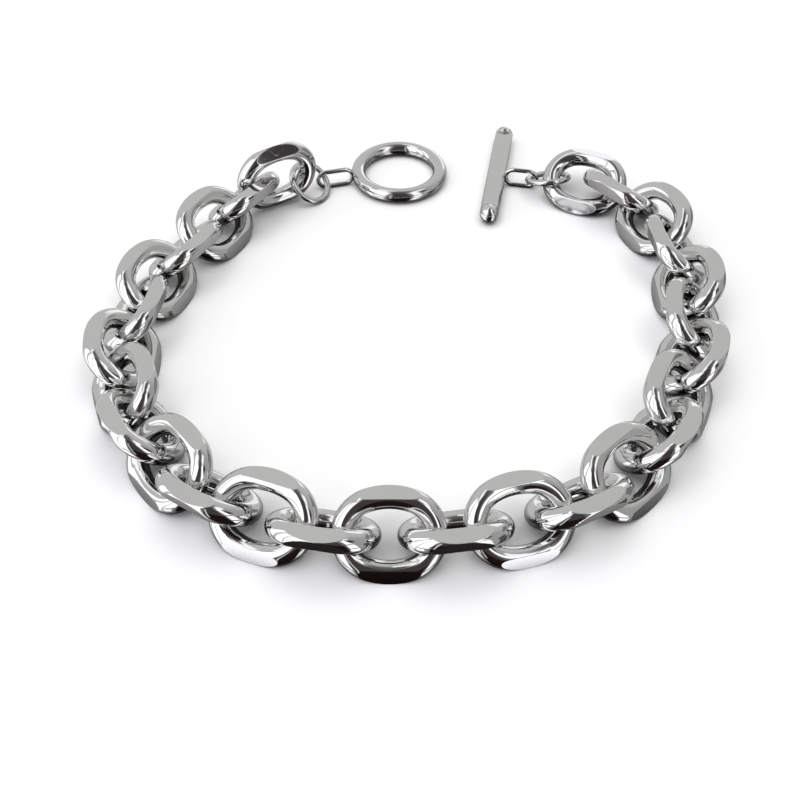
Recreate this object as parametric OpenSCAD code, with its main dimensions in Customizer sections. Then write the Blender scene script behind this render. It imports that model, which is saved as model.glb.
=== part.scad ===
// Link bracelet: an oval run of large diamond cut cable links that ends in a toggle clasp.
// It lies open on the table. Millimetres, Z up, origin on the table under the middle of the whole.

/* [Link] */
// Outside length of a link
link_length = 11.2; // [10.8:0.1:12]
// Outside width of a link
link_width = 9.4; // [9.2:0.1:10]
// Thickness of a link's wire
link_wire = 2.3; // [2:0.05:2.4]
// Depth of each of the four flats cut into a link
flat_depth = 0.4; // [0.3:0.05:0.6]
// Angle between the flats and the link's own plane
flat_angle = 40; // [38:1:45]

/* [Chain] */
// Angle at which the links lean on the table
link_lean = 40; // [38:1:45]
// Angle of the first link, which stands on edge
first_link_lean = 93; // [88:1:96]
// Angle of the last link, which lies flatter
last_link_lean = 30; // [28:1:34]
// Play between two links where the chain lies slack, as a share of a link's spare length
slack_share = 0.25; // [0.2:0.025:0.3]
// Play between two links where the chain is drawn out, as a share of the spare length
taut_share = 0.125; // [0.125:0.025:0.2]
// Play of the two end links, which have slid back into the chain, as a share of the spare length
end_share = 0.55; // [0.5:0.05:0.6]

/* [Toggle ring] */
// Outside diameter of the toggle ring
toggle_ring_size = 13.1; // [12:0.1:15]
// Thickness of the toggle ring's wire
toggle_ring_wire = 1.9; // [1.6:0.1:2.1]

/* [Toggle bar] */
// Length of the toggle bar over its domed ends
bar_length = 21.2; // [19:0.1:24]
// Thickness of the toggle bar
bar_thickness = 2.5; // [2.3:0.1:2.7]
// Depth of the flats milled into the bar's top and bottom
bar_flat_depth = 0.4; // [0.2:0.05:0.5]

/* [Eyes and jump rings] */
// Length of the small upright eye soldered to the toggle ring
ring_eye_length = 5.4; // [5:0.1:6]
// Height of the toggle ring's eye
ring_eye_height = 2.8; // [2.8:0.1:3]
// Length of the small upright eye soldered to the toggle bar
bar_eye_length = 4.8; // [4.4:0.1:5.5]
// Height of the bar's eye
bar_eye_height = 2.9; // [2.7:0.1:3.2]
// Distance of the bar's eye from the middle of the bar
bar_eye_offset = 0.9; // [0:0.1:1]
// Thickness of the eyes' wire
eye_wire = 0.6; // [0.5:0.05:0.65]
// Outside diameter of a jump ring
jump_ring_size = 6.2; // [6.1:0.1:6.6]
// Thickness of a jump ring's wire
jump_ring_wire = 0.8; // [0.6:0.05:0.85]
// Clearance between a jump ring and the eye that it hangs in
eye_clearance = 0.35; // [0.3:0.05:0.4]
// Clearance between the bar's jump ring and the last link
hang_clearance = 0.6; // [0.5:0.05:0.7]

/* [Hidden] */
$fn = 64;

// Heading of each link from the toggle ring's end to the bar's end, in degrees from +X
link_headings = [
    -149, -124, -118, -120, -111, -98, -88, -68, -58,
    -49, -32, -20, -10, 0, 8, 15, 27, 43,
    57, 64, 72, 80, 89, 97, 113, 132, 155
];
link_count = len(link_headings);
// The chain lies slack up to this link and drawn out after it
slack_links = 12;
chain_start = [-18.1, 22.5];
// The first link has slid sideways in the second one
first_link_shift = [0.3, -0.9];

// The jump ring at the toggle ring slopes down from the first link to the table
ring_side_jump_offset = [0.2, -0.1];
ring_side_jump_heading = -30;
ring_side_jump_slope = 40;
ring_eye_heading = 14;
// The jump ring at the bar lies between the last link and the bar's eye, rolled up at its near side
bar_side_jump_heading = 163;
bar_side_jump_roll = 19;
bar_eye_heading = 170;

link_radius = (link_width - link_wire) / 2;
flat_inset = link_wire / 2 - flat_depth;
flat_reach = link_radius * sin(flat_angle) + flat_inset;
link_reach = (link_length - link_wire) / 2;
// Room between the two neighbours of a link when both are pulled away from each other
spare_length = link_length - 4 * link_wire;
toggle_ring_radius = (toggle_ring_size - toggle_ring_wire) / 2;
jump_ring_radius = (jump_ring_size - jump_ring_wire) / 2;
// How far an eye sinks into the metal that it is soldered to
solder_sink = eye_wire / 2;

function along(heading) = [cos(heading), sin(heading), 0];

function slope_along(heading, slope) = [cos(heading) * cos(slope), sin(heading) * cos(slope), -sin(slope)];

// Height of a leaned link's middle with its lowest edge on the table
function link_height(lean) =
    let (
        inner_half = sqrt(pow(link_wire / 2, 2) - pow(flat_inset, 2)),
        outer_half = min(inner_half, flat_inset / tan(flat_angle)),
        turn = abs(flat_angle - lean),
        half = lean < flat_angle ? inner_half : outer_half
    )
    link_radius * sin(lean) + flat_inset * cos(turn) + half * sin(turn);

function link_lean_at(index) =
    index == 0 ? first_link_lean :
    index == link_count - 1 ? last_link_lean : link_lean;

function joint_play(joint) =
    spare_length * (
        joint == 0 || joint == link_count - 2 ? end_share :
        joint < slack_links ? slack_share : taut_share
    );

function link_step(joint) =
    (link_length - 2 * link_wire - joint_play(joint)) / 2
    * (along(link_headings[joint]) + along(link_headings[joint + 1]));

function chain_place(index) =
    index == 0 ? [chain_start.x, chain_start.y, 0] : chain_place(index - 1) + link_step(index - 1);

function link_place(index) =
    chain_place(index)
    + (index == 0 ? [first_link_shift.x, first_link_shift.y, 0] : [0, 0, 0])
    + [0, 0, link_height(link_lean_at(index))];

first_link_end = link_place(0) - link_reach * along(link_headings[0]);
ring_side_middle = [
    first_link_end.x + ring_side_jump_offset.x,
    first_link_end.y + ring_side_jump_offset.y,
    jump_ring_radius * sin(ring_side_jump_slope) + jump_ring_wire / 2
];

// Where the sloping jump ring passes through the upright eye
ring_side_turn = acos((ring_side_middle.z - ring_eye_height / 2) / (jump_ring_radius * sin(ring_side_jump_slope)));
ring_side_pass = ring_side_middle
    + jump_ring_radius * cos(ring_side_turn) * slope_along(ring_side_jump_heading, ring_side_jump_slope)
    + jump_ring_radius * sin(ring_side_turn) * along(ring_side_jump_heading + 90);

last_link = link_place(link_count - 1);
last_hang = last_link
    + (link_reach - (link_wire + jump_ring_wire) / 2 - hang_clearance) * along(link_headings[link_count - 1]);
bar_side_slope = asin((last_hang.z - bar_eye_height / 2) / (2 * jump_ring_radius));
bar_side_chord = jump_ring_radius * slope_along(bar_side_jump_heading, bar_side_slope);
bar_side_middle = last_hang + bar_side_chord;
bar_side_pass = bar_side_middle + bar_side_chord;

// Middle of the wire at an eye's free end, next to the jump ring's wire that passes through the eye
function eye_tip(pass, heading) =
    pass - ((jump_ring_wire + eye_wire) / 2 + eye_clearance) * along(heading);

function link_name(index) = str("link_", index < 9 ? "0" : "", index + 1);

// Half of a round ring of wire in the XY plane, on the +X side
module half_ring(radius, wire) {
    rotate([0, 0, -90]) rotate_extrude(angle = 180) translate([radius, 0]) circle(d = wire);
}

// Closed oval of round wire in the XY plane, with its length along X
module oval_ring(length, width, wire) {
    radius = (width - wire) / 2;
    straight = length - width;
    for (side = [0, 180])
        rotate([0, 0, side]) {
            translate([straight / 2, 0, 0]) half_ring(radius, wire);
            translate([-straight / 2, radius, 0]) rotate([0, 90, 0]) cylinder(d = wire, h = straight);
        }
}

module round_ring(radius, wire) {
    rotate_extrude() translate([radius, 0]) circle(d = wire);
}

// A link with four flats, which lie level when it leans by the flats' own angle
module diamond_cut_link() {
    intersection() {
        oval_ring(link_length, link_width, link_wire);
        rotate([flat_angle, 0, 0]) cube([link_length + 1, 2 * link_width, 2 * flat_reach], center = true);
        rotate([-flat_angle, 0, 0]) cube([link_length + 1, 2 * link_width, 2 * flat_reach], center = true);
    }
}

// Links lean in turn to the inside and to the outside of the bracelet
module chain_link(index) {
    lean = index % 2 == 1 ? link_lean_at(index) : -link_lean_at(index);
    color("silver")
        translate(link_place(index))
            rotate([0, 0, link_headings[index]])
                rotate([lean, 0, 0])
                    diamond_cut_link();
}

module jump_ring(middle, heading, slope, roll) {
    color("gainsboro")
        translate(middle)
            rotate([0, 0, heading])
                rotate([0, slope, 0])
                    rotate([roll, 0, 0])
                        round_ring(jump_ring_radius, jump_ring_wire);
}

// An upright eye that runs along +X from the middle of its wire at the origin
module eye(length, height) {
    translate([(length - eye_wire) / 2, 0, 0]) rotate([90, 0, 0]) oval_ring(length, height, eye_wire);
}

module toggle_ring() {
    span = ring_eye_length - eye_wire / 2 - solder_sink + toggle_ring_size / 2;
    color("silver")
        translate(eye_tip(ring_side_pass, ring_eye_heading))
            rotate([0, 0, ring_eye_heading]) {
                eye(ring_eye_length, ring_eye_height);
                translate([span, 0, (toggle_ring_wire - ring_eye_height) / 2])
                    round_ring(toggle_ring_radius, toggle_ring_wire);
            }
}

// A round rod along Y with domed ends and a flat milled along its top and bottom
module bar_rod() {
    radius = bar_thickness / 2;
    straight = bar_length - bar_thickness;
    difference() {
        union() {
            rotate([90, 0, 0]) cylinder(r = radius, h = straight, center = true);
            for (side = [-1, 1]) translate([0, side * straight / 2, 0]) sphere(r = radius);
        }
        for (side = [-1, 1])
            translate([0, 0, side * (bar_thickness - bar_flat_depth)])
                cube([bar_thickness + 1, straight - bar_thickness / 2, bar_thickness], center = true);
    }
}

module toggle_bar() {
    span = bar_eye_length - eye_wire / 2 - solder_sink + bar_thickness / 2;
    color("silver")
        translate(eye_tip(bar_side_pass, bar_eye_heading))
            rotate([0, 0, bar_eye_heading]) {
                eye(bar_eye_length, bar_eye_height);
                translate([span, -bar_eye_offset, (bar_thickness - bar_eye_height) / 2]) bar_rod();
            }
}

module ring_jump_ring() {
    jump_ring(ring_side_middle, ring_side_jump_heading, ring_side_jump_slope, 0);
}

module bar_jump_ring() {
    jump_ring(bar_side_middle, bar_side_jump_heading, bar_side_slope, bar_side_jump_roll);
}

for (index = [0 : link_count - 1])
    chain_link(index);
toggle_ring();
ring_jump_ring();
toggle_bar();
bar_jump_ring();
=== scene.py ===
import math

import bmesh
import bpy
import numpy as np
from bpy.props import FloatProperty, FloatVectorProperty, PointerProperty
from mathutils import Matrix, Vector


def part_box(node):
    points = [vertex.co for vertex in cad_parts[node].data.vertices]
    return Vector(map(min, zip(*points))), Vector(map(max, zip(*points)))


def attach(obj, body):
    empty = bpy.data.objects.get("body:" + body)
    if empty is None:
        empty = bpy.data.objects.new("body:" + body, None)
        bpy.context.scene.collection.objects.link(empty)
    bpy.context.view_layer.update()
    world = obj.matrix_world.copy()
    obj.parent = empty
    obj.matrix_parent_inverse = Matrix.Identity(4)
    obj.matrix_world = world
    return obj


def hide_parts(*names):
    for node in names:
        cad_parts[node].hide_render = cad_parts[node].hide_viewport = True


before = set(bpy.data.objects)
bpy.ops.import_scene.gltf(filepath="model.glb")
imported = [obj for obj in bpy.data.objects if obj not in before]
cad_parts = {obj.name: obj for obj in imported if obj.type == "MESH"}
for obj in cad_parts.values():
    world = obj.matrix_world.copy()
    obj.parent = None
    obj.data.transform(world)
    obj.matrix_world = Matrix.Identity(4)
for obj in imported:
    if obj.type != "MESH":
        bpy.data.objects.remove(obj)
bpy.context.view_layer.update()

bl_info = {
    "name": "Link Bracelet Looks",
    "version": (1, 0, 0),
    "blender": (4, 5, 0),
    "location": "View3D > Sidebar > Bracelet",
    "description": "Diamond cut links, toggle clasp, polished steel and studio for the link bracelet",
    "category": "Object",
}

MM = 0.001
LINK_COUNT = 27

# Sides and steps of the round shapes
WIRE_SIDES = 64
THIN_WIRE_SIDES = 40
BEND_STEPS = 32
SIDE_STEPS = 5
RING_STEPS = 128
DOME_STEPS = 14
# Points closer together than this become one
MERGE_DISTANCE = 0.0005 * MM
# Points closer than this to a cut lie on it
CUT_TOLERANCE = 0.0002 * MM
# A face with more corners than this is a flat. The wire's own faces have four, or a few more at a cut
WIRE_FACE_CORNERS = 8
# Keeps the bar's round ends inside the faceted ends of its solid
END_EASE = 0.005 * MM
# Length over which the bar's flats run out into its round ends
FLAT_RUN_OUT = 0.12 * MM

# The steel's detail. The scales are in cells per metre and the turn is in radians
CLOUD_SCALE = 420.0
CLOUD_DETAIL = 4.0
# The clouds' noise from thin to thick, and the roughness at both as shares of the piece's own
CLOUD_RANGE = (0.3, 0.7)
POLISH_SHARES = (0.7, 1.5)
# The steel's colour where the clouds' noise is 1, as a share of its colour where it is 0
CLOUD_SHADE = 0.93
WAVE_SCALE = 260.0
WAVE_DETAIL = 1.0
# Height of the unevenness on the links and on the clasp
LINK_WAVE = 0.004 * MM
CLASP_WAVE = 0.002 * MM
SCRATCH_SCALE = (600.0, 9000.0, 2600.0)
SCRATCH_TURN = (0.4, 0.2, 0.7)
SCRATCH_DETAIL = 2.0
# A scratch begins where its noise has the first value and is full at the second
SCRATCH_EDGES = (0.60, 0.72)
SCRATCH_DEPTH = 0.0008 * MM
SCRATCH_STRENGTH = 0.25
# Roughness that a full scratch adds
SCRATCH_ROUGHNESS = 0.10

# The floor, the lamp and the camera, in metres
FLOOR_HALF = 1.5
LAMP_SIZE = 0.9
LAMP_PLACE = (0.0, 0.02, 0.7)
CAMERA_TARGET = (-1.7 * MM, -14.0 * MM, 0.0)
NEAREST_SEEN = 0.005
# The camera's sensor, in millimetres
SENSOR_WIDTH = 36.0

# The floor's paint. The steel's reflections show its shade only within this reach of the bracelet,
# and the power sets how fast the shade falls off
FLOOR_ROUGHNESS = 0.9
SHADE_REACH = 6 * MM
SHADE_POWER = 2.0
SHADE_SAMPLES = 4

# The Map Range node's sockets for a vector's From Min and From Max
VECTOR_FROM_MIN = 7
VECTOR_FROM_MAX = 8


def mm_property(name, description, default):
    """A length in metres, given in millimetres."""
    return FloatProperty(name=name, description=description, default=default * MM, min=0.0, unit="LENGTH")


class BraceletLinkSettings(bpy.types.PropertyGroup):
    length: mm_property("Length", "Outside length of a link", 11.2)
    width: mm_property("Width", "Outside width of a link before its flats are cut", 9.4)
    wire: mm_property("Wire", "Thickness of a link's wire", 2.3)
    bend: mm_property("Bend", "Radius of the bends at a link's ends, along the middle of the wire", 3.38)
    flat_depth: mm_property("Flat depth", "Depth of each flat", 0.4)
    flat_angle: FloatProperty(
        name="Flat angle", description="Angle between the flats and the link's own plane",
        default=math.radians(40), subtype="ANGLE")
    edge_width: mm_property("Edge width", "Width of the softened edge round each flat", 0.05)


class BraceletClaspSettings(bpy.types.PropertyGroup):
    ring_size: mm_property("Toggle ring", "Outside diameter of the toggle ring", 13.1)
    ring_wire: mm_property("Toggle ring wire", "Thickness of the toggle ring's wire", 1.9)
    ring_eye_length: mm_property("Ring eye length", "Length of the eye on the toggle ring", 5.4)
    ring_eye_height: mm_property("Ring eye height", "Height of the eye on the toggle ring", 2.8)
    ring_eye_heading: FloatProperty(
        name="Ring eye heading", description="Direction from the eye's free end to the toggle ring",
        default=math.radians(14), subtype="ANGLE")
    bar_length: mm_property("Bar length", "Length of the toggle bar over its domed ends", 21.2)
    bar_thickness: mm_property("Bar thickness", "Thickness of the toggle bar", 2.5)
    bar_flat_depth: mm_property("Bar flat depth", "Depth of the flats along the bar", 0.4)
    bar_eye_length: mm_property("Bar eye length", "Length of the eye on the bar", 4.8)
    bar_eye_height: mm_property("Bar eye height", "Height of the eye on the bar", 2.9)
    bar_eye_offset: mm_property("Bar eye offset", "Distance of the bar's eye from the bar's middle", 0.9)
    bar_eye_heading: FloatProperty(
        name="Bar eye heading", description="Direction from the eye's free end to the bar",
        default=math.radians(170), subtype="ANGLE")
    eye_wire: mm_property("Eye wire", "Thickness of the eyes' wire", 0.6)
    jump_size: mm_property("Jump ring", "Outside diameter of a jump ring", 6.2)
    jump_wire: mm_property("Jump ring wire", "Thickness of a jump ring's wire", 0.8)


class BraceletSteelSettings(bpy.types.PropertyGroup):
    colour: FloatVectorProperty(
        name="Steel", description="Colour of the polished steel", subtype="COLOR",
        size=3, min=0.0, max=1.0, default=(0.80, 0.795, 0.785))
    roughness: FloatProperty(
        name="Link roughness", description="Roughness of the links' polish between its scratches",
        default=0.04, min=0.0, max=1.0, subtype="FACTOR")
    clasp_roughness: FloatProperty(
        name="Clasp roughness", description="Roughness of the clasp's softer polish",
        default=0.11, min=0.0, max=1.0, subtype="FACTOR")


class BraceletStageSettings(bpy.types.PropertyGroup):
    floor_colour: FloatVectorProperty(
        name="Floor", description="Colour of the floor", subtype="COLOR",
        size=3, min=0.0, max=1.0, default=(0.88, 0.88, 0.88))
    overhead_power: FloatProperty(
        name="Overhead light", description="Power of the soft light over the floor, in watts",
        default=3.9, min=0.0, unit="POWER")
    lens: FloatProperty(
        name="Lens", description="Focal length of the camera, in millimetres on a 36 mm sensor",
        default=45.0, min=1.0)
    camera_distance: mm_property("Camera distance", "Distance from the camera to its target", 110.4)
    camera_elevation: FloatProperty(
        name="Camera elevation", description="Height angle of the camera",
        default=math.radians(47.44), subtype="ANGLE")


def round_section(bm, wire, middle, sides):
    """Starts an empty bmesh with a circle of the wire's size across X and gives its edges."""
    turn = Matrix.Translation(middle) @ Matrix.Rotation(math.radians(90), 4, "Y")
    bmesh.ops.create_circle(bm, cap_ends=False, segments=sides, radius=wire / 2, matrix=turn)
    return bm.edges[:]


def carry_on(bm, edges, step):
    """Extrudes the edges along a straight step and gives the new ones."""
    made = bmesh.ops.extrude_edge_only(bm, edges=edges)["geom"]
    verts = [item for item in made if isinstance(item, bmesh.types.BMVert)]
    bmesh.ops.translate(bm, verts=verts, vec=step)
    return [edge for edge in made if isinstance(edge, bmesh.types.BMEdge) and edge.is_boundary]


def bend_round(bm, edges, centre, steps, angle=math.pi):
    """Spins the edges about Z, half a turn unless told otherwise, and gives the last ones."""
    made = bmesh.ops.spin(bm, geom=edges, cent=centre, axis=(0, 0, 1), angle=angle, steps=steps)
    return [item for item in made["geom_last"] if isinstance(item, bmesh.types.BMEdge)]


def close_up(bm):
    """Merges the seams and turns every face outwards."""
    bmesh.ops.remove_doubles(bm, verts=bm.verts, dist=MERGE_DISTANCE)
    bmesh.ops.recalc_face_normals(bm, faces=bm.faces)


def oval_ring(length, width, wire, sides, steps):
    """A closed oval of round wire in the XY plane, with its length along X."""
    bm = bmesh.new()
    radius = (width - wire) / 2
    straight = length - width
    edges = round_section(bm, wire, Vector((straight / 2, -radius, 0)), sides)
    edges = bend_round(bm, edges, (straight / 2, 0, 0), steps)
    edges = carry_on(bm, edges, (-straight, 0, 0))
    edges = bend_round(bm, edges, (-straight / 2, 0, 0), steps)
    carry_on(bm, edges, (straight, 0, 0))
    close_up(bm)
    return bm


def link_ring(link):
    """A link's round wire in the XY plane: tight bends round its ends and wide ones along its sides."""
    bm = bmesh.new()
    reach, radius = (link.length - link.wire) / 2, (link.width - link.wire) / 2
    hub = reach - link.bend
    side_radius = (hub ** 2 + radius ** 2 - link.bend ** 2) / (2 * (radius - link.bend))
    side_hub = side_radius - radius
    side_angle = math.atan2(hub, side_hub)
    edges = round_section(bm, link.wire, Vector((0, -radius, 0)), WIRE_SIDES)
    for centre, angle, steps in (
            ((0, side_hub, 0), side_angle, SIDE_STEPS),
            ((hub, 0, 0), math.pi - 2 * side_angle, BEND_STEPS),
            ((0, -side_hub, 0), 2 * side_angle, 2 * SIDE_STEPS),
            ((-hub, 0, 0), math.pi - 2 * side_angle, BEND_STEPS),
            ((0, side_hub, 0), side_angle, SIDE_STEPS)):
        edges = bend_round(bm, edges, centre, steps, angle)
    close_up(bm)
    return bm


def upright_eye(length, height, wire):
    """An eye that stands upright with its length along X, about its own middle."""
    bm = oval_ring(length, height, wire, THIN_WIRE_SIDES, BEND_STEPS // 2)
    bmesh.ops.rotate(
        bm, verts=bm.verts, cent=(0, 0, 0), matrix=Matrix.Rotation(math.radians(90), 3, "X"))
    return bm


def round_ring(size, wire, sides, steps):
    """A closed ring of round wire in the XY plane."""
    bm = bmesh.new()
    edges = round_section(bm, wire, Vector((0, -(size - wire) / 2, 0)), sides)
    bmesh.ops.spin(
        bm, geom=edges, cent=(0, 0, 0), axis=(0, 0, 1), angle=math.tau, steps=steps, use_merge=True)
    close_up(bm)
    return bm


def cut_flat(bm, normal, reach):
    """Cuts a flat across the mesh and closes it with one face."""
    cut = bmesh.ops.bisect_plane(
        bm, geom=bm.verts[:] + bm.edges[:] + bm.faces[:], dist=CUT_TOLERANCE,
        plane_co=normal * reach, plane_no=normal, clear_outer=True)["geom_cut"]
    rim = [item for item in cut if isinstance(item, bmesh.types.BMEdge) and item.is_boundary]
    bmesh.ops.holes_fill(bm, edges=rim, sides=0)


def diamond_cut_link(link):
    """One link about its own middle, with four flats and softened edges."""
    bm = link_ring(link)
    radius = (link.width - link.wire) / 2
    inset = link.wire / 2 - link.flat_depth
    reach = radius * math.sin(link.flat_angle) + inset
    for side in (-1, 1):
        for face in (-1, 1):
            normal = Vector((0, side * math.sin(link.flat_angle), face * math.cos(link.flat_angle)))
            cut_flat(bm, normal, reach)
    flats = [face for face in bm.faces if len(face.verts) > WIRE_FACE_CORNERS]
    if len(flats) != 4:
        raise RuntimeError(f"a link has {len(flats)} flats, not four")
    rim = list(dict.fromkeys(vert for face in flats for vert in face.verts))
    bmesh.ops.inset_individual(bm, faces=flats, thickness=link.edge_width, depth=0.0)
    bmesh.ops.smooth_vert(
        bm, verts=rim, factor=0.5, use_axis_x=True, use_axis_y=True, use_axis_z=True)
    return bm


def dome_ring(bm, edges, centre, reach, radius, angle):
    """The next ring of a dome, from the last one."""
    made = bmesh.ops.extrude_edge_only(bm, edges=edges)["geom"]
    verts = [item for item in made if isinstance(item, bmesh.types.BMVert)]
    for vert in verts:
        side = Vector((vert.co.x, 0, vert.co.z)).normalized()
        vert.co = centre + side * radius * math.cos(angle) + reach * radius * math.sin(angle)
    return verts, [edge for edge in made if isinstance(edge, bmesh.types.BMEdge) and edge.is_boundary]


def bar_rod(clasp):
    """The toggle bar along Y about its own middle, with domed ends and two flats."""
    bm = bmesh.new()
    radius = clasp.bar_thickness / 2
    straight = clasp.bar_length - clasp.bar_thickness - 2 * END_EASE
    lay = Matrix.Rotation(math.radians(90), 4, "X")
    bmesh.ops.create_cone(
        bm, cap_ends=False, segments=WIRE_SIDES, radius1=radius, radius2=radius, depth=straight, matrix=lay)
    for side in (-1, 1):
        centre = Vector((0, side * straight / 2, 0))
        edges = [edge for edge in bm.edges if edge.is_boundary and edge.verts[0].co.y * side > 0
                 and edge.verts[1].co.y * side > 0]
        for step in range(1, DOME_STEPS + 1):
            angle = math.radians(90) * step / DOME_STEPS
            verts, edges = dome_ring(bm, edges, centre, Vector((0, side, 0)), radius, angle)
        bmesh.ops.remove_doubles(bm, verts=verts, dist=MERGE_DISTANCE)
    flat_half = (straight - radius) / 2
    for place in (-flat_half - FLAT_RUN_OUT, -flat_half, flat_half, flat_half + FLAT_RUN_OUT):
        bmesh.ops.bisect_plane(
            bm, geom=bm.verts[:] + bm.edges[:] + bm.faces[:], dist=CUT_TOLERANCE,
            plane_co=(0, place, 0), plane_no=(0, 1, 0))
    flat_height = radius - clasp.bar_flat_depth
    for vert in bm.verts:
        if abs(vert.co.y) < flat_half + FLAT_RUN_OUT / 2:
            vert.co.z = max(-flat_height, min(flat_height, vert.co.z))
    close_up(bm)
    return bm


def joined(parts):
    """One bmesh from several (bmesh, matrix) pairs."""
    whole = bmesh.new()
    for part, place in parts:
        bmesh.ops.transform(part, matrix=place, verts=part.verts)
        keep = bpy.data.meshes.new("part")
        part.to_mesh(keep)
        part.free()
        whole.from_mesh(keep)
        bpy.data.meshes.remove(keep)
    return whole


def piece_from(bm, name, node, material):
    """A finished piece at the origin that stands for a CAD node."""
    mesh = bpy.data.meshes.new(name)
    for face in bm.faces:
        face.smooth = True
    bm.to_mesh(mesh)
    bm.free()
    piece = bpy.data.objects.new(name, mesh)
    bpy.context.scene.collection.objects.link(piece)
    mesh.materials.append(material)
    piece.modifiers.new("Even shading", "WEIGHTED_NORMAL")
    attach(piece, "root")
    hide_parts(node)
    return piece


def node_place(name):
    """Where a link or ring stands: its middle and its own axes, found from the CAD node's surface."""
    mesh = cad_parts[name].data
    mesh.calc_loop_triangles()
    points = np.empty(len(mesh.vertices) * 3)
    mesh.vertices.foreach_get("co", points)
    index = np.empty(len(mesh.loop_triangles) * 3, dtype=np.int32)
    mesh.loop_triangles.foreach_get("vertices", index)
    corners = points.reshape(-1, 3)[index.reshape(-1, 3)]
    area = np.linalg.norm(
        np.cross(corners[:, 1] - corners[:, 0], corners[:, 2] - corners[:, 0]), axis=1) / 2
    middle = (corners.mean(axis=1) * area[:, None]).sum(axis=0) / area.sum()
    corners = corners - middle
    # The triangles' second moments, from their corners and the sums of these
    sums = corners.sum(axis=1)
    spread = np.einsum("t,tki,tkj->ij", area, corners, corners) + np.einsum("t,ti,tj->ij", area, sums, sums)
    axes = np.linalg.eigh(spread)[1]
    along, across = Vector(axes[:, 2]), Vector(axes[:, 1])
    turn = Matrix((along, across, along.cross(across))).transposed().to_4x4()
    return Matrix.Translation(Vector(middle)) @ turn


class NodeRow:
    """Adds nodes to a tree and links them up."""

    def __init__(self, tree):
        self.tree = tree

    def add(self, kind, sources=(), **values):
        """A node of this kind, with its inputs linked to sockets or set to values."""
        node = self.tree.nodes.new(kind)
        for name, value in values.items():
            setattr(node, name, value)
        for socket, source in sources:
            if hasattr(source, "links"):
                self.tree.links.new(source, node.inputs[socket])
            else:
                node.inputs[socket].default_value = source
        return node


def steel_material(name, steel, roughness, wave_height):
    """Polished steel: fine wandering scratches, a cloudy polish and a faint unevenness."""
    material = bpy.data.materials.new(name)
    material.use_nodes = True
    shader = material.node_tree.nodes["Principled BSDF"]
    shader.inputs["Metallic"].default_value = 1.0
    row = NodeRow(material.node_tree)
    place = row.add("ShaderNodeTexCoord").outputs["Object"]
    scratches = scratch_lines(row, place)

    cloud = row.add(
        "ShaderNodeTexNoise", [("Vector", place), ("Scale", CLOUD_SCALE), ("Detail", CLOUD_DETAIL)])
    polish = row.add(
        "ShaderNodeMapRange",
        [("Value", cloud.outputs["Fac"]), ("From Min", CLOUD_RANGE[0]), ("From Max", CLOUD_RANGE[1]),
         ("To Min", roughness * POLISH_SHARES[0]), ("To Max", roughness * POLISH_SHARES[1])])
    worn = row.add(
        "ShaderNodeMath", [(0, scratches), (1, SCRATCH_ROUGHNESS), (2, polish.outputs["Result"])],
        operation="MULTIPLY_ADD")
    row.tree.links.new(worn.outputs["Value"], shader.inputs["Roughness"])

    shade = [value * CLOUD_SHADE for value in steel.colour]
    tint = row.add(
        "ShaderNodeMix",
        [("Factor", cloud.outputs["Fac"]), ("A", (*steel.colour, 1)), ("B", (*shade, 1))],
        data_type="RGBA")
    row.tree.links.new(tint.outputs["Result"], shader.inputs["Base Color"])

    wave = row.add(
        "ShaderNodeTexNoise", [("Vector", place), ("Scale", WAVE_SCALE), ("Detail", WAVE_DETAIL)])
    uneven = row.add(
        "ShaderNodeBump", [("Height", wave.outputs["Fac"]), ("Strength", 1.0), ("Distance", wave_height)])
    scratched = row.add(
        "ShaderNodeBump",
        [("Height", scratches), ("Strength", SCRATCH_STRENGTH), ("Distance", SCRATCH_DEPTH),
         ("Normal", uneven.outputs["Normal"])],
        invert=True)
    row.tree.links.new(scratched.outputs["Normal"], shader.inputs["Normal"])
    return material


def scratch_lines(row, place):
    """Fine lines, 1 in a scratch and 0 beside it."""
    stretch = row.add(
        "ShaderNodeMapping", [("Vector", place), ("Scale", SCRATCH_SCALE), ("Rotation", SCRATCH_TURN)])
    hair = row.add(
        "ShaderNodeTexNoise",
        [("Vector", stretch.outputs["Vector"]), ("Scale", 1.0), ("Detail", SCRATCH_DETAIL)])
    lines = row.add("ShaderNodeValToRGB", [("Fac", hair.outputs["Fac"])])
    for element, edge, value in zip(lines.color_ramp.elements, SCRATCH_EDGES, (0, 1)):
        element.position = edge
        element.color = (value, value, value, 1)
    return lines.outputs["Color"]


def clasp_material(scene):
    """The clasp's steel, made once."""
    found = bpy.data.materials.get("polished_clasp_steel")
    steel = scene.bracelet_steel
    return found or steel_material("polished_clasp_steel", steel, steel.clasp_roughness, CLASP_WAVE)


class BRACELET_OT_links(bpy.types.Operator):
    """Makes the diamond cut cable links"""
    bl_idname = "bracelet.links"
    bl_label = "Links"

    def execute(self, context):
        scene = context.scene
        steel = scene.bracelet_steel
        material = steel_material("polished_link_steel", steel, steel.roughness, LINK_WAVE)
        for number in range(1, LINK_COUNT + 1):
            node = f"link_{number:02d}"
            bm = diamond_cut_link(scene.bracelet_link)
            bmesh.ops.transform(bm, matrix=node_place(node), verts=bm.verts)
            piece = piece_from(bm, f"cable_link_{number:02d}", node, material)
        return {"FINISHED"}


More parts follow.
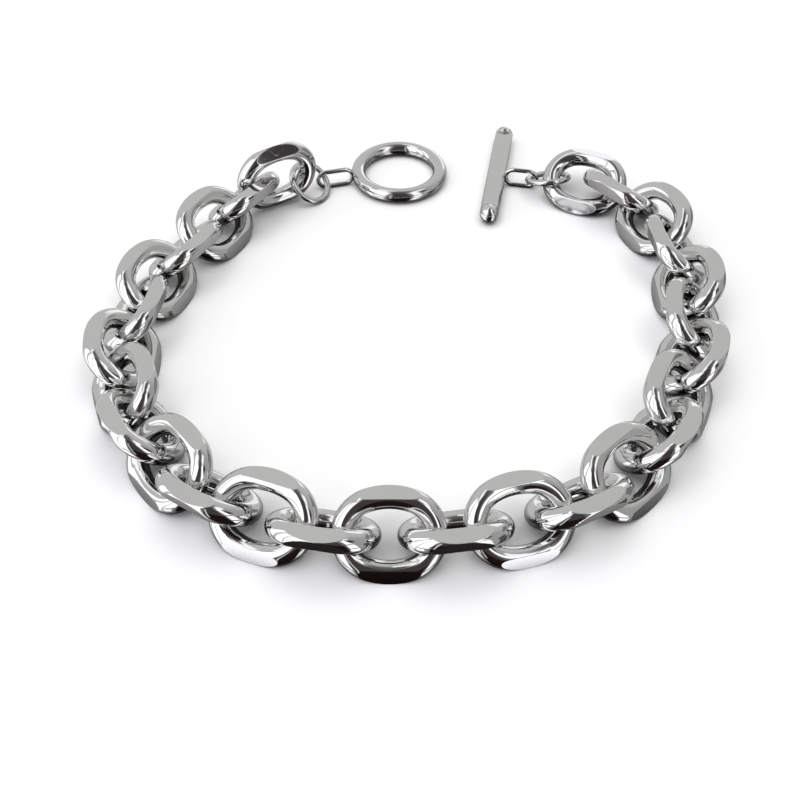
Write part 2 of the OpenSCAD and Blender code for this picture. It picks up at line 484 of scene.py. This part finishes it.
class BRACELET_OT_toggle_ring(bpy.types.Operator):
    """Makes the toggle ring with its soldered eye"""
    bl_idname = "bracelet.toggle_ring"
    bl_label = "Toggle Ring"

    def execute(self, context):
        scene = context.scene
        clasp = scene.bracelet_clasp
        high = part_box("toggle_ring")[1]
        reach = clasp.ring_size / 2
        centre = Vector((high[0] - reach, high[1] - reach, clasp.ring_wire / 2))
        ring = round_ring(clasp.ring_size, clasp.ring_wire, WIRE_SIDES, RING_STEPS)
        eye = upright_eye(clasp.ring_eye_length, clasp.ring_eye_height, clasp.eye_wire)
        span = clasp.ring_eye_length / 2 - clasp.eye_wire / 2 + reach
        back = Vector((-span, 0, (clasp.ring_eye_height - clasp.ring_wire) / 2))
        stand = Matrix.Translation(centre) @ Matrix.Rotation(clasp.ring_eye_heading, 4, "Z")
        whole = joined([(ring, stand), (eye, stand @ Matrix.Translation(back))])
        piece = piece_from(whole, "toggle_ring_and_eye", "toggle_ring", clasp_material(scene))
        return {"FINISHED"}


class BRACELET_OT_toggle_bar(bpy.types.Operator):
    """Makes the toggle bar with its soldered eye"""
    bl_idname = "bracelet.toggle_bar"
    bl_label = "Toggle Bar"

    def execute(self, context):
        scene = context.scene
        clasp = scene.bracelet_clasp
        low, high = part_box("toggle_bar")
        lean = clasp.bar_eye_heading - math.radians(180)
        radius = clasp.bar_thickness / 2
        straight = clasp.bar_length - clasp.bar_thickness
        centre = Vector((
            low[0] + radius + straight / 2 * abs(math.sin(lean)), (low[1] + high[1]) / 2, radius))
        stand = Matrix.Translation(centre) @ Matrix.Rotation(clasp.bar_eye_heading, 4, "Z")
        span = clasp.bar_eye_length / 2 - clasp.eye_wire / 2 + radius
        back = Vector((-span, clasp.bar_eye_offset, (clasp.bar_eye_height - clasp.bar_thickness) / 2))
        eye = upright_eye(clasp.bar_eye_length, clasp.bar_eye_height, clasp.eye_wire)
        whole = joined([(bar_rod(clasp), stand), (eye, stand @ Matrix.Translation(back))])
        piece = piece_from(whole, "toggle_bar_and_eye", "toggle_bar", clasp_material(scene))
        return {"FINISHED"}


class BRACELET_OT_jump_rings(bpy.types.Operator):
    """Makes the two jump rings"""
    bl_idname = "bracelet.jump_rings"
    bl_label = "Jump Rings"

    def execute(self, context):
        scene = context.scene
        clasp = scene.bracelet_clasp
        for node, name in (("ring_jump_ring", "jump_ring_at_ring"), ("bar_jump_ring", "jump_ring_at_bar")):
            bm = round_ring(clasp.jump_size, clasp.jump_wire, THIN_WIRE_SIDES, RING_STEPS // 2)
            bmesh.ops.transform(bm, matrix=node_place(node), verts=bm.verts)
            piece = piece_from(bm, name, node, clasp_material(scene))
        return {"FINISHED"}


# The studio's walls: headings, in degrees from the camera's side and growing to the right, with the
# brightness at each
WALLS = (
    (-180, 0.60), (-120, 0.60), (-98, 0.52), (-60, 0.50), (-36, 0.34), (-24, 0.14), (-12, 0.07),
    (0, 0.05), (12, 0.07), (24, 0.14), (38, 0.30), (60, 0.38), (95, 0.40), (125, 0.55), (180, 0.60),
)
# Cards that stand in the studio, painted one over the other: the middle's heading and height angle,
# half the width and half the height, the softness of the edges, all in degrees, and the colour
CARDS = (
    ((0, 90), (200, 24), 20, (0.36, 0.36, 0.36)),
    ((0, -90), (200, 27), 14, (0.38, 0.38, 0.38)),
    ((0, -90), (75, 22), 8, (0.035, 0.030, 0.030)),
    ((-70, 6), (34, 60), 8, (0.55, 0.54, 0.54)),
    ((-96, 12), (9, 42), 3, (1.35, 1.36, 1.43)),
    ((-71, 8), (9, 56), 3, (1.60, 1.61, 1.69)),
    ((-49, 8), (9, 56), 3, (1.60, 1.61, 1.69)),
    ((-44, 36), (13, 28), 3, (1.60, 1.61, 1.69)),
    ((-47, -38), (8, 10), 3, (1.80, 1.81, 1.90)),
    ((-44, -23), (12, 4), 3, (0.12, 0.10, 0.10)),
    ((-110, 73), (60, 7), 5, (1.20, 1.21, 1.26)),
    ((-38, -3), (6, 16), 4, (1.25, 1.25, 1.34)),
    ((42, -20), (10, 34), 4, (1.50, 1.51, 1.59)),
    ((40, -38), (10, 10), 3, (1.80, 1.81, 1.90)),
    ((40, -23), (12, 4), 3, (0.12, 0.10, 0.10)),
    ((44, 42), (9, 20), 3, (1.50, 1.51, 1.58)),
    ((74, 64), (24, 8), 4, (1.20, 1.21, 1.27)),
    ((62, 38), (10, 10), 4, (0.055, 0.050, 0.050)),
    ((116, -4), (14, 20), 8, (0.20, 0.20, 0.20)),
    ((80, -30), (11, 26), 6, (0.10, 0.095, 0.095)),
    ((160, 12), (16, 11), 6, (1.15, 1.15, 1.20)),
    ((172, -16), (14, 7), 6, (1.05, 1.05, 1.10)),
    ((0, -25), (27, 41), 5, (0.014, 0.009, 0.008)),
    ((0, 84), (200, 7), 6, (0.14, 0.135, 0.135)),
    ((0, 74), (36, 8), 6, (0.10, 0.095, 0.095)),
    ((0, 42), (23, 28), 6, (0.060, 0.052, 0.050)),
    ((-20, 12), (2, 32), 2, (0.75, 0.75, 0.78)),
)
# The world's strength. Every colour is divided by it, which keeps them all below 1
WALL_GAIN = 2.0
# What the camera itself sees above the floor's edge
BACKDROP = (0.78, 0.78, 0.78)


def studio_world():
    """The light round the bracelet: grey walls, soft boxes to both sides and the dark behind the camera."""
    world = bpy.data.worlds.new("studio")
    world.use_nodes = True
    row = NodeRow(world.node_tree)
    background = world.node_tree.nodes["Background"]
    background.inputs["Strength"].default_value = WALL_GAIN
    ray = row.add("ShaderNodeTexCoord")
    axes = row.add("ShaderNodeSeparateXYZ", [("Vector", ray.outputs["Generated"])])
    back = row.add("ShaderNodeMath", [(0, axes.outputs["Y"]), (1, -1.0)], operation="MULTIPLY")
    heading = row.add(
        "ShaderNodeMath", [(0, axes.outputs["X"]), (1, back.outputs["Value"])], operation="ARCTAN2")
    height = row.add("ShaderNodeMath", [(0, axes.outputs["Z"])], operation="ARCSINE")
    place = row.add(
        "ShaderNodeCombineXYZ", [("X", heading.outputs["Value"]), ("Y", height.outputs["Value"])])
    share = row.add(
        "ShaderNodeMapRange",
        [("Value", heading.outputs["Value"]), ("From Min", -math.pi), ("From Max", math.pi)])
    walls = row.add("ShaderNodeValToRGB", [("Fac", share.outputs["Result"])])
    fill_ramp(walls.color_ramp, WALLS)
    colour = walls.outputs["Color"]
    for middle, half, softness, paint in CARDS:
        colour = card_over(row, colour, place.outputs["Vector"], middle, half, softness, paint)
    path = row.add("ShaderNodeLightPath")
    colour = painted_over(row, colour, path.outputs["Is Camera Ray"], BACKDROP)
    row.tree.links.new(colour, background.inputs["Color"])
    return world


def card_over(row, colour, place, middle, half, softness, paint):
    """Paints one card over the colour so far and gives the new colour."""
    away = row.add(
        "ShaderNodeVectorMath", [(0, place), (1, [math.radians(angle) for angle in middle] + [0])],
        operation="SUBTRACT")
    away = row.add("ShaderNodeVectorMath", [(0, away.outputs["Vector"])], operation="ABSOLUTE")
    edge = softness / 2
    cover = row.add(
        "ShaderNodeMapRange",
        [("Vector", away.outputs["Vector"]),
         (VECTOR_FROM_MIN, [math.radians(angle + edge) for angle in half] + [1]),
         (VECTOR_FROM_MAX, [math.radians(angle - edge) for angle in half] + [0])],
        data_type="FLOAT_VECTOR", interpolation_type="SMOOTHSTEP")
    parts = row.add("ShaderNodeSeparateXYZ", [("Vector", cover.outputs["Vector"])])
    both = row.add(
        "ShaderNodeMath", [(0, parts.outputs["X"]), (1, parts.outputs["Y"])], operation="MULTIPLY")
    return painted_over(row, colour, both.outputs["Value"], paint)


def painted_over(row, colour, cover, paint):
    """Lays paint over the colour so far where the cover is 1 and gives the new colour."""
    paint = (*[value / WALL_GAIN for value in paint], 1)
    mix = row.add("ShaderNodeMix", [("Factor", cover), ("A", colour), ("B", paint)], data_type="RGBA")
    return mix.outputs["Result"]


def fill_ramp(ramp, stops):
    """Puts the stops, as (heading, brightness), into a colour ramp that goes once round."""
    while len(ramp.elements) > 1:
        ramp.elements.remove(ramp.elements[-1])
    for number, (heading, brightness) in enumerate(stops):
        position = (heading + 180) / 360
        element = ramp.elements[0] if number == 0 else ramp.elements.new(position)
        element.position = position
        element.color = (*[brightness / WALL_GAIN] * 3, 1)


def floor_paint(stage):
    """Pale paint. In the steel's reflections the floor shows only the shade close to the bracelet."""
    paint = bpy.data.materials.new("floor_paint")
    paint.use_nodes = True
    row = NodeRow(paint.node_tree)
    pale = paint.node_tree.nodes["Principled BSDF"]
    pale.inputs["Base Color"].default_value = (*stage.floor_colour, 1)
    pale.inputs["Roughness"].default_value = FLOOR_ROUGHNESS
    pale.inputs["Specular IOR Level"].default_value = 0.0
    path = row.add("ShaderNodeLightPath")
    near = row.add("ShaderNodeAmbientOcclusion", [("Distance", SHADE_REACH)], samples=SHADE_SAMPLES)
    shade = row.add("ShaderNodeMath", [(0, near.outputs["AO"]), (1, SHADE_POWER)], operation="POWER")
    clear = row.add("ShaderNodeBsdfTransparent", [("Color", shade.outputs["Value"])])
    mix = row.add(
        "ShaderNodeMixShader",
        [(0, path.outputs["Is Glossy Ray"]), (1, pale.outputs["BSDF"]), (2, clear.outputs["BSDF"])])
    row.tree.links.new(mix.outputs["Shader"], paint.node_tree.nodes["Material Output"].inputs["Surface"])
    return paint


class BRACELET_OT_stage(bpy.types.Operator):
    """Makes the floor, the light and the camera"""
    bl_idname = "bracelet.stage"
    bl_label = "Stage"

    def execute(self, context):
        scene = context.scene
        stage = scene.bracelet_stage
        bm = bmesh.new()
        bmesh.ops.create_grid(bm, x_segments=1, y_segments=1, size=FLOOR_HALF)
        mesh = bpy.data.meshes.new("floor")
        bm.to_mesh(mesh)
        bm.free()
        floor = bpy.data.objects.new("floor", mesh)
        scene.collection.objects.link(floor)
        mesh.materials.append(floor_paint(stage))

        scene.world = studio_world()
        lamp = bpy.data.lights.new("overhead", "AREA")
        lamp.shape = "DISK"
        lamp.size = LAMP_SIZE
        lamp.energy = stage.overhead_power
        overhead = bpy.data.objects.new("overhead", lamp)
        overhead.location = LAMP_PLACE
        overhead.visible_glossy = False
        scene.collection.objects.link(overhead)

        lens = bpy.data.cameras.new("camera")
        lens.lens = stage.lens
        lens.sensor_width = SENSOR_WIDTH
        lens.clip_start = NEAREST_SEEN
        camera = bpy.data.objects.new("camera", lens)
        rise = stage.camera_elevation
        towards = Vector((0, -math.cos(rise), math.sin(rise)))
        camera.location = Vector(CAMERA_TARGET) + stage.camera_distance * towards
        camera.rotation_euler = (math.radians(90) - rise, 0, 0)
        scene.collection.objects.link(camera)
        scene.camera = camera
        scene.view_settings.view_transform = "Standard"
        return {"FINISHED"}


class BRACELET_PT_panel(bpy.types.Panel):
    """Lists the bracelet's sizes and the operators that make it"""
    bl_idname = "BRACELET_PT_panel"
    bl_label = "Link Bracelet"
    bl_space_type = "VIEW_3D"
    bl_region_type = "UI"
    bl_category = "Bracelet"

    def draw(self, context):
        layout = self.layout
        for group in SETTINGS:
            settings = getattr(context.scene, group)
            box = layout.box()
            for name in settings.__annotations__:
                box.prop(settings, name)
        for operator in OPERATORS:
            layout.operator(operator.bl_idname)


SETTINGS = {
    "bracelet_link": BraceletLinkSettings,
    "bracelet_clasp": BraceletClaspSettings,
    "bracelet_steel": BraceletSteelSettings,
    "bracelet_stage": BraceletStageSettings,
}
OPERATORS = (
    BRACELET_OT_links,
    BRACELET_OT_toggle_ring,
    BRACELET_OT_toggle_bar,
    BRACELET_OT_jump_rings,
    BRACELET_OT_stage,
)


def register():
    """Registers the settings, the operators and the panel."""
    for name, group in SETTINGS.items():
        bpy.utils.register_class(group)
        setattr(bpy.types.Scene, name, PointerProperty(type=group))
    for kind in OPERATORS + (BRACELET_PT_panel,):
        bpy.utils.register_class(kind)


def unregister():
    """Undoes register."""
    for kind in (BRACELET_PT_panel,) + OPERATORS[::-1]:
        bpy.utils.unregister_class(kind)
    for name, group in SETTINGS.items():
        delattr(bpy.types.Scene, name)
        bpy.utils.unregister_class(group)


def main():
    """Makes everything."""
    register()
    bpy.ops.bracelet.links()
    bpy.ops.bracelet.toggle_ring()
    bpy.ops.bracelet.toggle_bar()
    bpy.ops.bracelet.jump_rings()
    bpy.ops.bracelet.stage()


if __name__ == "__main__":
    main()
